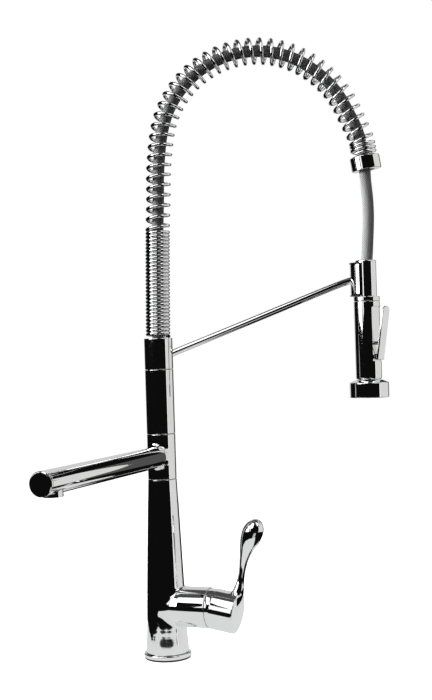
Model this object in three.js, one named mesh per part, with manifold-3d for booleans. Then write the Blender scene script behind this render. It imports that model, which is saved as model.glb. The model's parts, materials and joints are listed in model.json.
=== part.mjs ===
// Deck-mounted kitchen faucet with a side lever, a swivelling filler spout, and a pull-down spray head
// on a hose that a long coil spring carries over an arch. Millimetres, +Z up, the user stands at -Y.
// The origin is the centre of the base, on the deck. The valve boss points along +X.
import * as THREE from "three";
import { mergeVertices } from "three/addons/utils/BufferGeometryUtils.js";
import Module from "manifold-3d";

const wasm = await Module();
wasm.setup();

// ---------------------------------------------------------------- driving dimensions

const GAP = 0.3; // kept between pieces that touch

// base and column
const FLANGE_RADIUS = 25;
const FLANGE_TOP = 6;
const GASKET_THICKNESS = 1.5;
const GASKET_INNER_RADIUS = 19.3;
const INLET_RADIUS = 5.3;
const INLET_BORE = 3.6;
const INLET_TOP = 22;
const INLET_OFFSET = [9.5, 5]; // hot at -X, cold at +X
const STUD_BORE = 3.4;
const STUD_OFFSET = -12;
const BODY_TOP = 187.4;
const COLUMN_RADIUS = 15;
const COLUMN_WALL_BORE = 12.4;
const CORE_RADIUS = 11.9;
const CORE_BORE = 7.6;
const CORE_BOTTOM = 160;
const SPOUT_RING_TOP = 234.9;
const SLEEVE_TOP = 302.5;
const COLLAR_TOP = 335.5;
const SEAM = 0.4;
const SEAT_RADIUS = 14.1; // recess for a slip washer in the top of each column piece
const SEAT_DEPTH = 0.6;
const SEAL_GROOVE = 10.9;
const SEAL_HEIGHT = 1.6;
const SEAL_SETBACK = 5; // from the ends of the spout's collar

// valve boss, dome and handle
const BOSS_HEIGHT = 53.8;
const BOSS_RADIUS = 21;
const BOSS_END = 50;
const CARTRIDGE_RADIUS = 17.4;
const CARTRIDGE_START = 10;
const CARTRIDGE_LENGTH = 27;
const TILT_PIVOT = 50.3; // the dome's centre, along +X
const DOME_RADIUS = 20.3;
const DOME_MOUTH = 12;
const HANDLE_TILT = THREE.MathUtils.degToRad(9);
const HUB_RIM = 4.6; // from the pivot, along the hub's own axis
const HUB_END = 30;
const HUB_RADIUS = 20.9;
const HUB_HOLLOW = 20.7; // ball-shaped room for the dome
const STEM_RADIUS = 3.5;

// spout, straight towards the user
const SPOUT_HEIGHT = 211.3;
const SPOUT_RADIUS = 11.25;
const SPOUT_BORE = 9.4;
const SPOUT_REACH = 259;
const CAP_THICKNESS = 3;
const OUTLET_SETBACK = 22;
const OUTLET_RADIUS = 9.15;
const OUTLET_DROP = 2.1;
const OUTLET_EDGE = SPOUT_HEIGHT - SPOUT_RADIUS - OUTLET_DROP;
const AERATOR_RADIUS = 7.2;
const AERATOR_TOP = 5.5; // of its washer, above the outlet's edge

// support arm, holder, spring and hose, in the vertical plane of the arm
const ARM_HEADING = THREE.MathUtils.degToRad(21);
const ROD_RADIUS = 3.5;
const ROD_START = [13.4, 319];
const ROD_BEND = [195, 387.2];
const ROD_END = [205.3, 390.3];
const HEAD_REACH = 220.7;
const CLIP_BOTTOM = 374.6;
const CLIP_TOP = 407;
const CLIP_RADIUS = 16.6;
const CLIP_BORE = 13.2;
const CLIP_FROM = THREE.MathUtils.degToRad(50);
const CLIP_TO = THREE.MathUtils.degToRad(237);
const LINER_RADIUS = 12.9;
const LINER_BORE = 11.45;
const LINER_RIM_RADIUS = 17.2;
const LINER_RIM = 1;
const WIRE_RADIUS = 1.85;
// The coil's radius to the wire's centre, against the share of its open length.
const COIL_RADII = [[0, 11.2], [0.27, 11.8], [0.42, 12.6], [0.88, 12.6], [1, 12]];
const CLOSED_PITCH = 3.785;
const CLOSED_TURNS = 29.5;
const OPEN_TURNS = 37.39;
const END_PITCH = 4.2;
const END_TURNS = 3;
const ARCH_CENTRE = [111.9, 531.8];
const ARCH_RADIUS = 103;
const ARCH_SAG = 1.7; // how far the arch falls inside its circle, round this heading and over this width
const SAG_HEADING = 46;
const SAG_WIDTH = 28;
const NUT_TOP = [222.7, 520.6];
const NUT_BOTTOM = [224.97, 505.9];
const NUT_RADIUS = 15.7;
const HOSE_RADIUS = 6.1;

// spray head, on a vertical axis
const NECK_TOP = 411;
const NECK_BOTTOM = 372.9;
const NECK_RADIUS = 11;
const NECK_BORE = 8.8;
const RING_BOTTOM = 367.7;
const HEAD_TOP = 367.4;
const HEAD_BOTTOM = 285.2;
const HEAD_RADIUS = 13.7;
const HEAD_BORE = 8.6;
const NOZZLE_RADIUS = 20.6;
const NOZZLE_TOP = 284.9;
const NOZZLE_BOTTOM = 266.6;
const LEVER_HEADING = THREE.MathUtils.degToRad(-35.2); // from the arm's heading
const LEVER_HINGE = 309.5;
const LEVER_PIN_REACH = 10.8;
const LEVER_PIN_RADIUS = 0.9;
const LEVER_FOOT = 3; // below the hinge
const LEVER_LENGTH = 53.8; // above it
const LEVER_WIDTH = 14;
const LEVER_THICKNESS = 2.4;
const LEVER_STANDOFF = 2.2; // from the pin's middle to the blade's inner face
const PLUNGER_HEIGHT = 14; // above the lever's hinge
const PLUNGER_TIP = 14.6;
const COLLAR_END = 7.4; // of the plunger's collar
const PLUNGER_RADIUS = 1.8;
const LEVER_LEAN = THREE.MathUtils.degToRad(9);
const RECESS_TOP = 361.8;
const RECESS_BOTTOM = 304.9;
const RECESS_DEPTH = 3.7;

// ---------------------------------------------------------------- shapes

const FINE = 24; // sides of a large round piece
const COARSE = 14; // sides of a small one

// A closed mesh with shared vertices, as a solid that can be cut and joined.
function solidOf(geometry) {
  const bare = geometry.index ? geometry.toNonIndexed() : geometry.clone();
  bare.deleteAttribute("normal");
  bare.deleteAttribute("uv");
  const merged = mergeVertices(bare, 1e-4);
  const vertProperties = merged.attributes.position.array;
  const triVerts = new Uint32Array(merged.index.array);
  return new wasm.Manifold(new wasm.Mesh({ numProp: 3, vertProperties, triVerts }));
}

function geometryOf(solid) {
  const mesh = solid.getMesh();
  const geometry = new THREE.BufferGeometry();
  geometry.setAttribute("position", new THREE.BufferAttribute(mesh.vertProperties, 3));
  geometry.setIndex(new THREE.BufferAttribute(mesh.triVerts, 1));
  const flat = geometry.toNonIndexed();
  flat.computeVertexNormals();
  return flat;
}

function cut(body, ...tools) {
  return geometryOf(tools.reduce((solid, tool) => solid.subtract(solidOf(tool)), solidOf(body)));
}

function join(body, ...others) {
  return geometryOf(others.reduce((solid, other) => solid.add(solidOf(other)), solidOf(body)));
}

// Turns an outline of [radius, height] points, anticlockwise, round the Z axis.
function revolve(outline, sides = FINE) {
  const points = [...outline, outline[0]].map(([radius, height]) => new THREE.Vector2(radius, height));
  return new THREE.LatheGeometry(points, sides).rotateX(Math.PI / 2);
}

// A tube or ring with square edges, standing on `bottom`.
function ring(outer, inner, bottom, top, sides = FINE) {
  const outline = [
    [inner, bottom],
    [outer, bottom],
    [outer, top],
    [inner, top],
  ];
  return revolve(outline, sides);
}

function disc(radius, bottom, top, sides = FINE) {
  return new THREE.CylinderGeometry(radius, radius, top - bottom, sides)
    .rotateX(Math.PI / 2)
    .translate(0, 0, (bottom + top) / 2);
}

// Turns a shape that stands along +Z so that it lies along +X.
function alongX(geometry) {
  return geometry.rotateY(Math.PI / 2);
}

// Turns a shape that stands along +Z so that it lies along -Y.
function alongFront(geometry) {
  return geometry.rotateX(Math.PI / 2);
}

// A round bar along a curve.
function bar(curve, radius, steps, sides) {
  const section = new THREE.Shape();
  for (let side = 0; side < sides; side += 1) {
    const angle = (2 * Math.PI * side) / sides;
    const [x, y] = [radius * Math.cos(angle), radius * Math.sin(angle)];
    if (side === 0) section.moveTo(x, y);
    else section.lineTo(x, y);
  }
  section.closePath();
  return new THREE.ExtrudeGeometry(section, { steps, extrudePath: curve });
}

// A block that is open in plan: the C between two radii, from one heading to another.
function openRing(outer, inner, bottom, top) {
  const shape = new THREE.Shape();
  shape.absarc(0, 0, outer, CLIP_FROM, CLIP_TO, false);
  shape.absarc(0, 0, inner, CLIP_TO, CLIP_FROM, true);
  const options = { depth: top - bottom, bevelEnabled: false, curveSegments: 10 };
  return new THREE.ExtrudeGeometry(shape, options).translate(0, 0, bottom);
}

// ---------------------------------------------------------------- materials

const finish = (color, roughness, metalness) => ({ color, roughness, metalness });
const CHROME = finish(0xd8dadc, 0.06, 1);
const BRASS = finish(0xb5893f, 0.35, 1);
const STEEL = finish(0x9a9ca0, 0.3, 1);
const RUBBER = finish(0x151515, 0.8, 0);
const BLACK_PLASTIC = finish(0x1c1c1e, 0.45, 0);
const WHITE_PLASTIC = finish(0xe6e6e0, 0.5, 0);
const BRAIDED = finish(0x8f9194, 0.55, 0.2);

function add(group, name, geometry, look) {
  const mesh = new THREE.Mesh(geometry, new THREE.MeshStandardMaterial(look));
  mesh.name = name;
  group.add(mesh);
}

// ---------------------------------------------------------------- base and column

const faucet = new THREE.Group();

function addBase() {
  const plate = revolve([
    [0, 0],
    [GASKET_INNER_RADIUS - GAP, 0],
    [GASKET_INNER_RADIUS - GAP, GASKET_THICKNESS + GAP],
    [FLANGE_RADIUS, GASKET_THICKNESS + GAP],
    [FLANGE_RADIUS, FLANGE_TOP - 1],
    [FLANGE_RADIUS - 1, FLANGE_TOP],
    [0, FLANGE_TOP],
  ]);
  const inletHole = (side) =>
    disc(INLET_RADIUS + GAP, -1, FLANGE_TOP + 1, COARSE).translate(side * INLET_OFFSET[0], INLET_OFFSET[1], 0);
  const studHole = disc(STUD_BORE, -1, FLANGE_TOP + 1, COARSE).translate(0, STUD_OFFSET, 0);
  add(faucet, "base_flange", cut(plate, inletHole(-1), inletHole(1), studHole), CHROME);

  const gasket = ring(FLANGE_RADIUS - 0.6, GASKET_INNER_RADIUS, 0, GASKET_THICKNESS);
  add(faucet, "deck_gasket", gasket, RUBBER);

  for (const [name, side] of [["hot_inlet", -1], ["cold_inlet", 1]]) {
    const inlet = ring(INLET_RADIUS, INLET_BORE, 0.2, INLET_TOP, COARSE);
    add(faucet, name, inlet.translate(side * INLET_OFFSET[0], INLET_OFFSET[1], 0), BRASS);
  }
}

// The column's outline below the spout: a long taper that flares into the foot.
function bodyOutline() {
  const flare = new THREE.SplineCurve([
    new THREE.Vector2(22.8, FLANGE_TOP + GAP),
    new THREE.Vector2(21.3, 26),
    new THREE.Vector2(19.4, 80),
    new THREE.Vector2(17.2, 136),
    new THREE.Vector2(COLUMN_RADIUS + 0.1, BODY_TOP),
  ]);
  return flare.getPoints(10).map((point) => [point.x, point.y]);
}

// The room that a slip washer needs in the top of a column piece.
const washerSeat = (top) => disc(SEAT_RADIUS, top - SEAT_DEPTH, top + 1);

function addBody() {
  const shell = revolve([
    [17, FLANGE_TOP + GAP],
    ...bodyOutline(),
    [CORE_RADIUS + GAP, BODY_TOP],
    [CORE_RADIUS + GAP, CORE_BOTTOM - GAP],
    [CORE_BORE, CORE_BOTTOM - GAP],
    [CORE_BORE, 34],
    [17, 28],
  ]);
  const boss = alongX(disc(BOSS_RADIUS, 0, BOSS_END)).translate(0, 0, BOSS_HEIGHT);
  const cavity = alongX(disc(CARTRIDGE_RADIUS + GAP, CARTRIDGE_START - GAP, BOSS_END + 1));
  const passage = disc(CORE_BORE, 34, CORE_BOTTOM - 1, COARSE);
  const body = cut(join(shell, boss), cavity.translate(0, 0, BOSS_HEIGHT), passage, washerSeat(BODY_TOP));
  add(faucet, "faucet_body", body, CHROME);
}

function addValve() {
  const end = CARTRIDGE_START + CARTRIDGE_LENGTH;
  const cartridge = alongX(disc(CARTRIDGE_RADIUS, CARTRIDGE_START, end, 24));
  add(faucet, "cartridge", cartridge.translate(0, 0, BOSS_HEIGHT), WHITE_PLASTIC);

  const nut = alongX(ring(CARTRIDGE_RADIUS, 8.5, end + GAP, TILT_PIVOT - 2, 24));
  add(faucet, "cartridge_nut", nut.translate(0, 0, BOSS_HEIGHT), BRASS);

  // half a ball over the valve, open in front for the stem
  const arc = (radius, from, to, steps) => {
    const points = [];
    for (let step = 0; step <= steps; step += 1) {
      const angle = from + ((to - from) * step) / steps;
      points.push([radius * Math.cos(angle), radius * Math.sin(angle)]);
    }
    return points;
  };
  const inner = DOME_RADIUS - 2.2;
  const outline = [
    ...arc(DOME_RADIUS, 0, Math.acos(DOME_MOUTH / DOME_RADIUS), 5),
    ...arc(inner, Math.acos(DOME_MOUTH / inner), 0, 3),
  ];
  const dome = alongX(revolve(outline)).translate(TILT_PIVOT, 0, BOSS_HEIGHT);
  add(faucet, "boss_dome", dome, CHROME);
}

function addColumnFittings() {
  const seals = [
    ["spout_seal_lower", BODY_TOP + SEAL_SETBACK],
    ["spout_seal_upper", SPOUT_RING_TOP - SEAL_SETBACK - SEAL_HEIGHT],
  ];
  const grooves = seals.flatMap(([, height]) => [
    [CORE_RADIUS, height - GAP],
    [SEAL_GROOVE - GAP, height - GAP],
    [SEAL_GROOVE - GAP, height + SEAL_HEIGHT + GAP],
    [CORE_RADIUS, height + SEAL_HEIGHT + GAP],
  ]);
  const core = revolve([
    [CORE_BORE, CORE_BOTTOM],
    [CORE_RADIUS, CORE_BOTTOM],
    ...grooves,
    [CORE_RADIUS, COLLAR_TOP - 6],
    [CORE_BORE, COLLAR_TOP - 6],
  ], COARSE);
  add(faucet, "swivel_core", core, BRASS);
  for (const [name, height] of seals) {
    add(faucet, name, ring(COLUMN_WALL_BORE - 0.1, SEAL_GROOVE, height, height + SEAL_HEIGHT, COARSE), RUBBER);
  }

  const seats = [
    ["lower_slip_washer", BODY_TOP],
    ["middle_slip_washer", SPOUT_RING_TOP],
    ["upper_slip_washer", SLEEVE_TOP],
  ];
  for (const [name, height] of seats) {
    const washer = ring(SEAT_RADIUS - GAP, CORE_RADIUS + GAP, height - 0.3, height + 0.15, COARSE);
    add(faucet, name, washer, WHITE_PLASTIC);
  }

  const sleeve = ring(COLUMN_RADIUS, COLUMN_WALL_BORE, SPOUT_RING_TOP + SEAM, SLEEVE_TOP);
  add(faucet, "mid_sleeve", cut(sleeve, washerSeat(SLEEVE_TOP)), CHROME);
}

// ---------------------------------------------------------------- spout

const spout = new THREE.Group();
faucet.add(spout);

function addSpout() {
  const collar = ring(COLUMN_RADIUS, COLUMN_WALL_BORE, BODY_TOP + SEAM, SPOUT_RING_TOP);
  const tubeEnd = SPOUT_REACH - CAP_THICKNESS - GAP;
  const tube = alongFront(disc(SPOUT_RADIUS, COLUMN_WALL_BORE + 1, tubeEnd)).translate(0, 0, SPOUT_HEIGHT);
  const flare = alongFront(
    revolve([
      [0, COLUMN_WALL_BORE + 1],
      [COLUMN_RADIUS - 1, COLUMN_WALL_BORE + 1],
      [SPOUT_RADIUS + 0.7, COLUMN_RADIUS + 1],
      [SPOUT_RADIUS, COLUMN_RADIUS + 4],
      [0, COLUMN_RADIUS + 4],
    ]),
  ).translate(0, 0, SPOUT_HEIGHT);
  const waterway = alongFront(disc(SPOUT_BORE, COLUMN_WALL_BORE - 2, tubeEnd + 1, 24));
  const coreHole = disc(COLUMN_WALL_BORE, BODY_TOP - 1, SPOUT_RING_TOP + 1);
  const outletHole = join(
    disc(AERATOR_RADIUS + GAP, OUTLET_EDGE, OUTLET_EDGE + AERATOR_TOP + GAP),
    disc(5, OUTLET_EDGE, SPOUT_HEIGHT, COARSE),
  );
  const body = cut(
    join(collar, tube, flare),
    waterway.translate(0, 0, SPOUT_HEIGHT),
    coreHole,
    washerSeat(SPOUT_RING_TOP),
    outletHole.translate(0, OUTLET_SETBACK - SPOUT_REACH, 0),
  );
  add(spout, "spout", body, CHROME);

  const cap = revolve([
    [0, SPOUT_REACH - CAP_THICKNESS - 5],
    [SPOUT_BORE - GAP, SPOUT_REACH - CAP_THICKNESS - 5],
    [SPOUT_BORE - GAP, SPOUT_REACH - CAP_THICKNESS],
    [SPOUT_RADIUS, SPOUT_REACH - CAP_THICKNESS],
    [SPOUT_RADIUS, SPOUT_REACH - 0.8],
    [SPOUT_RADIUS - 0.8, SPOUT_REACH],
    [0, SPOUT_REACH],
  ]);
  add(spout, "spout_end_cap", alongFront(cap).translate(0, 0, SPOUT_HEIGHT), CHROME);
}

function addOutlet() {
  const centre = OUTLET_SETBACK - SPOUT_REACH;
  const housing = cut(
    ring(OUTLET_RADIUS, AERATOR_RADIUS + 0.4, OUTLET_EDGE, SPOUT_HEIGHT - 6, 24).translate(0, centre, 0),
    alongFront(disc(SPOUT_RADIUS + GAP, SPOUT_REACH - 40, SPOUT_REACH + 10)).translate(0, 0, SPOUT_HEIGHT),
  );
  add(spout, "outlet_housing", housing, CHROME);

  const washerBottom = OUTLET_EDGE + AERATOR_TOP - 1;
  const insert = disc(AERATOR_RADIUS, OUTLET_EDGE + 0.5, washerBottom - GAP).translate(0, centre, 0);
  add(spout, "aerator_insert", insert, WHITE_PLASTIC);
  const washer = ring(AERATOR_RADIUS, 4.6, washerBottom, OUTLET_EDGE + AERATOR_TOP).translate(0, centre, 0);
  add(spout, "aerator_washer", washer, RUBBER);
}

// ---------------------------------------------------------------- arm, holder, spring and arch hose

const arm = new THREE.Group();
arm.rotation.z = ARM_HEADING;
faucet.add(arm);

const inPlane = ([reach, height]) => new THREE.Vector3(reach, 0, height);

function rodCurve() {
  const middle = [(ROD_START[0] + ROD_BEND[0]) / 2, (ROD_START[1] + ROD_BEND[1]) / 2];
  return new THREE.CatmullRomCurve3([ROD_START, middle, ROD_BEND, ROD_END].map(inPlane));
}

function addArm() {
  const hollow = COLLAR_TOP - 5.5;
  const collar = revolve([
    [COLUMN_WALL_BORE, SLEEVE_TOP + SEAM],
    [COLUMN_RADIUS, SLEEVE_TOP + SEAM],
    [COLUMN_RADIUS, COLLAR_TOP - 0.5],
    [COLUMN_RADIUS - 0.6, COLLAR_TOP],
    [7, COLLAR_TOP],
    [7, hollow],
    [COLUMN_WALL_BORE, hollow],
  ]);
  const socket = bar(rodCurve(), ROD_RADIUS + GAP, 12, COARSE);
  add(arm, "arm_collar", cut(collar, socket), CHROME);
  add(arm, "arm_rod", bar(rodCurve(), ROD_RADIUS, 16, 12), CHROME);

  const clip = openRing(CLIP_RADIUS, CLIP_BORE, CLIP_BOTTOM, CLIP_TOP).translate(HEAD_REACH, 0, 0);
  add(arm, "holder_clip", cut(clip, socket), CHROME);

  const liner = join(
    openRing(LINER_RADIUS, LINER_BORE, CLIP_BOTTOM - GAP - LINER_RIM, CLIP_TOP + GAP + LINER_RIM),
    openRing(LINER_RIM_RADIUS, LINER_BORE, CLIP_BOTTOM - GAP - LINER_RIM, CLIP_BOTTOM - GAP),
    openRing(LINER_RIM_RADIUS, LINER_BORE, CLIP_TOP + GAP, CLIP_TOP + GAP + LINER_RIM),
  );
  add(arm, "clip_liner", liner.translate(HEAD_REACH, 0, 0), BLACK_PLASTIC);
}

const nutLength = Math.hypot(NUT_TOP[0] - NUT_BOTTOM[0], NUT_TOP[1] - NUT_BOTTOM[1]);

// A point on the nut's axis, some way above its top face.
function aboveNut(distance) {
  return NUT_TOP.map((place, index) => place + ((place - NUT_BOTTOM[index]) * distance) / nutLength);
}

// The middle line of the spring, from the column's top to the nut.
function archCurve() {
  const points = [[0, COLLAR_TOP + WIRE_RADIUS + 0.2], [1.4, 396], [2.9, 447], [4.6, 481], [6, 515]];
  for (let degrees = 171; degrees >= 19; degrees -= 8) {
    const angle = THREE.MathUtils.degToRad(degrees);
    const radius = ARCH_RADIUS - ARCH_SAG * Math.exp(-(((degrees - SAG_HEADING) / SAG_WIDTH) ** 2));
    const [x, z] = ARCH_CENTRE;
    points.push([x + radius * Math.cos(angle), z + radius * Math.sin(angle)]);
  }
  points.push(aboveNut(17), aboveNut(2.8));
  const curve = new THREE.CatmullRomCurve3(points.map(inPlane));
  curve.arcLengthDivisions = 2000;
  return curve;
}

// The value that a table of [key, value] rows gives for a key, straight between its rows.
function between(rows, key) {
  const after = rows.findIndex(([start]) => start > key);
  if (after === 0) return rows[0][1];
  if (after < 0) return rows[rows.length - 1][1];
  const [[from, low], [to, high]] = rows.slice(after - 1, after + 1);
  return low + ((high - low) * (key - from)) / (to - from);
}

// A right-handed coil round a plane curve, with close turns at both ends.
class Coil extends THREE.Curve {
  constructor(spine) {
    super();
    this.spine = spine;
    this.length = spine.getLength();
    this.closedEnd = CLOSED_PITCH * CLOSED_TURNS;
    this.openEnd = this.length - END_PITCH * END_TURNS;
    this.openPitch = (this.openEnd - this.closedEnd) / OPEN_TURNS;
    this.turns = CLOSED_TURNS + OPEN_TURNS + END_TURNS;
    this.arcLengthDivisions = 4000;
  }
  // How far along the spine the coil is after some turns.
  travel(turn) {
    if (turn < CLOSED_TURNS) return turn * CLOSED_PITCH;
    if (turn < CLOSED_TURNS + OPEN_TURNS) return this.closedEnd + (turn - CLOSED_TURNS) * this.openPitch;
    return this.openEnd + (turn - CLOSED_TURNS - OPEN_TURNS) * END_PITCH;
  }
  getPoint(share, target = new THREE.Vector3()) {
    const turn = share * this.turns;
    const along = Math.min(1, this.travel(turn) / this.length);
    const tangent = this.spine.getTangentAt(along);
    const outward = new THREE.Vector3(tangent.z, 0, -tangent.x);
    const angle = 2 * Math.PI * turn;
    const radius = between(COIL_RADII, (this.travel(turn) - this.closedEnd) / (this.length - this.closedEnd));
    target.copy(this.spine.getPointAt(along)).addScaledVector(outward, radius * Math.cos(angle));
    target.y += radius * Math.sin(angle);
    return target;
  }
}

function addSpring() {
  const coil = new Coil(archCurve());
  const stepsPerTurn = 6;
  add(arm, "arch_spring", bar(coil, WIRE_RADIUS, Math.round(coil.turns * stepsPerTurn), 5), CHROME);

  const nut = revolve([
    [8.4, 0],
    [NUT_RADIUS - 0.8, 0],
    [NUT_RADIUS, 0.8],
    [NUT_RADIUS, nutLength - 1],
    [NUT_RADIUS - 1, nutLength],
    [8.4, nutLength],
  ]);
  const lean = Math.atan2(NUT_TOP[0] - NUT_BOTTOM[0], NUT_TOP[1] - NUT_BOTTOM[1]);
  nut.rotateY(lean).translate(NUT_BOTTOM[0], 0, NUT_BOTTOM[1]);
  add(arm, "spring_nut", nut, CHROME);
}

// The hose rises through the column, follows the spring and leaves the nut a little off its centre.
function addArchHose() {
  const arch = archCurve();
  const points = [inPlane([0, 296.5]), inPlane([0, 320])];
  const stops = 22;
  for (let stop = 0; stop < stops; stop += 1) points.push(arch.getPointAt(stop / stops));
  points.push(inPlane([221, 523]), inPlane([223, 507.4]));
  const curve = new THREE.CatmullRomCurve3(points);
  add(arm, "arch_hose", bar(curve, HOSE_RADIUS, 30, 8), BRAIDED);

  const fitting = revolve([
    [4, 276],
    [7.2, 276],
    [7.2, 296.2],
    [4, 296.2],
  ], COARSE);
  add(arm, "hose_swivel_fitting", fitting, BRASS);
}

// ---------------------------------------------------------------- spray head

const head = new THREE.Group();
head.position.x = HEAD_REACH;
arm.add(head);

function addDropHose() {
  const route = [
    [2.3, 506.8],
    [2.6, 496],
    [3.3, 487],
    [4.1, 477],
    [4.5, 466],
    [4.4, 455],
    [3.8, 443],
    [3, 431],
    [2.2, 420],
    [1.7, 413.5],
    [1.5, 408.7],
  ];
  const curve = new THREE.CatmullRomCurve3(route.map(inPlane));
  add(head, "drop_hose", bar(curve, HOSE_RADIUS, 12, 12), BRAIDED);
}

function addHeadTube() {
  const neck = revolve([
    [NECK_BORE, NECK_BOTTOM],
    [NECK_RADIUS, NECK_BOTTOM],
    [NECK_RADIUS, NECK_TOP - 1.2],
    [NECK_RADIUS - 1.2, NECK_TOP],
    [NECK_BORE, NECK_TOP],
  ]);
  add(head, "head_neck", neck, CHROME);
  add(head, "neck_ring", ring(HEAD_RADIUS, 8.8, RING_BOTTOM, NECK_BOTTOM - GAP), CHROME);

  const ferrule = revolve([
    [3.5, 385],
    [8.3, 385],
    [8.3, 408],
    [3.5, 408],
  ], COARSE);
  add(head, "hose_ferrule", ferrule, STEEL);
  add(head, "check_valve", disc(8.3, 374, 384.6, COARSE), WHITE_PLASTIC);
}

// The recess, the hinge block and everything that the squeeze lever works face this heading.
const leverSide = new THREE.Group();
leverSide.rotation.z = LEVER_HEADING;
head.add(leverSide);

function addHeadBody() {
  const shell = revolve([
    [HEAD_BORE, HEAD_BOTTOM],
    [HEAD_RADIUS - 3, HEAD_BOTTOM],
    [HEAD_RADIUS - 0.9, HEAD_BOTTOM + 0.9],
    [HEAD_RADIUS, HEAD_BOTTOM + 3],
    [HEAD_RADIUS, HEAD_TOP],
    [HEAD_BORE, HEAD_TOP],
  ]);
  const recess = new THREE.BoxGeometry(10, 30, RECESS_TOP - RECESS_BOTTOM);
  recess.translate(HEAD_RADIUS - RECESS_DEPTH + 5, 0, (RECESS_TOP + RECESS_BOTTOM) / 2);
  const block = new THREE.BoxGeometry(3.5, 7.2, 5).translate(LEVER_PIN_REACH - 0.25, 0, LEVER_HINGE);
  const pinHole = crosswise(LEVER_PIN_RADIUS + GAP, 20).translate(LEVER_PIN_REACH, 0, LEVER_HINGE);
  const earRoom = (side) =>
    new THREE.BoxGeometry(6, 3.2, 6.6).translate(LEVER_PIN_REACH + 0.8, side * 5.4, LEVER_HINGE + 0.4);
  const plungerHole = alongX(disc(PLUNGER_RADIUS + GAP, 5, 20, 12));
  plungerHole.translate(0, 0, LEVER_HINGE + PLUNGER_HEIGHT);
  const body = cut(join(cut(shell, recess), block), pinHole, earRoom(-1), earRoom(1), plungerHole);
  add(leverSide, "head_body", body, CHROME);

  const core = disc(HEAD_BORE - 0.3, HEAD_BOTTOM + 3, HEAD_TOP - 1);
  const waterway = disc(2.6, HEAD_BOTTOM, HEAD_TOP, 12).translate(-4.6, 0, 0);
  const guide = alongX(disc(4.2, -1, 12, 12)).translate(0, 0, LEVER_HINGE + PLUNGER_HEIGHT);
  add(leverSide, "valve_core", cut(core, waterway, guide), BLACK_PLASTIC);

  const pin = crosswise(LEVER_PIN_RADIUS, 13.4).translate(LEVER_PIN_REACH, 0, LEVER_HINGE);
  add(leverSide, "lever_pin", pin, STEEL);
}

// A pin across the lever, centred on the origin.
function crosswise(radius, length) {
  return disc(radius, -length / 2, length / 2, 12).rotateX(Math.PI / 2);
}

// The lever pushes the plunger in, and a small coil behind its collar pushes it back.
function addPlunger() {
  const plunger = join(
    alongX(disc(PLUNGER_RADIUS, COLLAR_END - 1, PLUNGER_TIP, 12)),
    alongX(disc(3.8, COLLAR_END - 1.2, COLLAR_END, 12)),
    alongX(disc(1.2, 3, COLLAR_END - 1, 12)),
  );
  plunger.translate(0, 0, LEVER_HINGE + PLUNGER_HEIGHT);
  add(leverSide, "valve_plunger", plunger, STEEL);

  const [turns, start, end] = [4, 0, COLLAR_END - 2];
  const coil = new THREE.CatmullRomCurve3(
    Array.from({ length: turns * 6 + 1 }, (_, index) => {
      const angle = (index * Math.PI) / 3;
      const share = index / (turns * 6);
      return new THREE.Vector3(start + (end - start) * share, 2.9 * Math.cos(angle), 2.9 * Math.sin(angle));
    }),
  );
  const spring = bar(coil, 0.4, turns * 6, 4).translate(0, 0, LEVER_HINGE + PLUNGER_HEIGHT);
  add(leverSide, "plunger_spring", spring, STEEL);
}

function addNozzle() {
  const nozzle = revolve([
    [17.4, NOZZLE_BOTTOM],
    [NOZZLE_RADIUS - 0.6, NOZZLE_BOTTOM],
    [NOZZLE_RADIUS, NOZZLE_BOTTOM + 0.6],
    [NOZZLE_RADIUS, NOZZLE_TOP - 2.8],
    [HEAD_RADIUS + 0.8, NOZZLE_TOP],
    [5, NOZZLE_TOP],
    [5, NOZZLE_TOP - 3],
    [17.4, NOZZLE_TOP - 6],
  ]);
  add(head, "nozzle_ring", nozzle, CHROME);
  const plate = disc(17, NOZZLE_BOTTOM + 1, NOZZLE_BOTTOM + 4);
  const nubs = [];
  for (const [count, radius] of [[6, 6], [12, 12.5]]) {
    for (let index = 0; index < count; index += 1) {
      const angle = (2 * Math.PI * index) / count;
      const nub = disc(0.9, NOZZLE_BOTTOM - 0.2, NOZZLE_BOTTOM + 1.5, 6);
      nubs.push(nub.translate(radius * Math.cos(angle), radius * Math.sin(angle), 0));
    }
  }
  add(head, "spray_face", join(plate, ...nubs), RUBBER);
}

// ---------------------------------------------------------------- squeeze lever on the spray head

const squeeze = new THREE.Group();
squeeze.position.set(LEVER_PIN_REACH, 0, LEVER_HINGE);
squeeze.rotation.y = LEVER_LEAN;
leverSide.add(squeeze);

function addSqueezeLever() {
  const half = LEVER_WIDTH / 2;
  const face = new THREE.Shape();
  face.moveTo(-half, -LEVER_FOOT);
  face.lineTo(half, -LEVER_FOOT);
  face.lineTo(half, LEVER_LENGTH - half);
  face.absarc(0, LEVER_LENGTH - half, half, 0, Math.PI, false);
  face.closePath();
  const options = { depth: LEVER_THICKNESS, bevelEnabled: false, curveSegments: 8 };
  // the blade stands along +Z with its thickness along +X
  const blade = new THREE.ExtrudeGeometry(face, options).rotateX(Math.PI / 2).rotateZ(Math.PI / 2);
  blade.translate(LEVER_STANDOFF, 0, 0);
  const ear = (side) => new THREE.BoxGeometry(4.1, 2.2, 4.2).translate(0.3, side * 5.3, 0);
  const hole = crosswise(LEVER_PIN_RADIUS + GAP, 20);
  add(squeeze, "squeeze_lever", cut(join(blade, ear(-1), ear(1)), hole), CHROME);
}

// ---------------------------------------------------------------- handle

const stemGroup = new THREE.Group();
stemGroup.position.set(TILT_PIVOT, 0, BOSS_HEIGHT);
faucet.add(stemGroup);

const handle = new THREE.Group();
handle.rotation.y = HANDLE_TILT;
stemGroup.add(handle);

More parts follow.
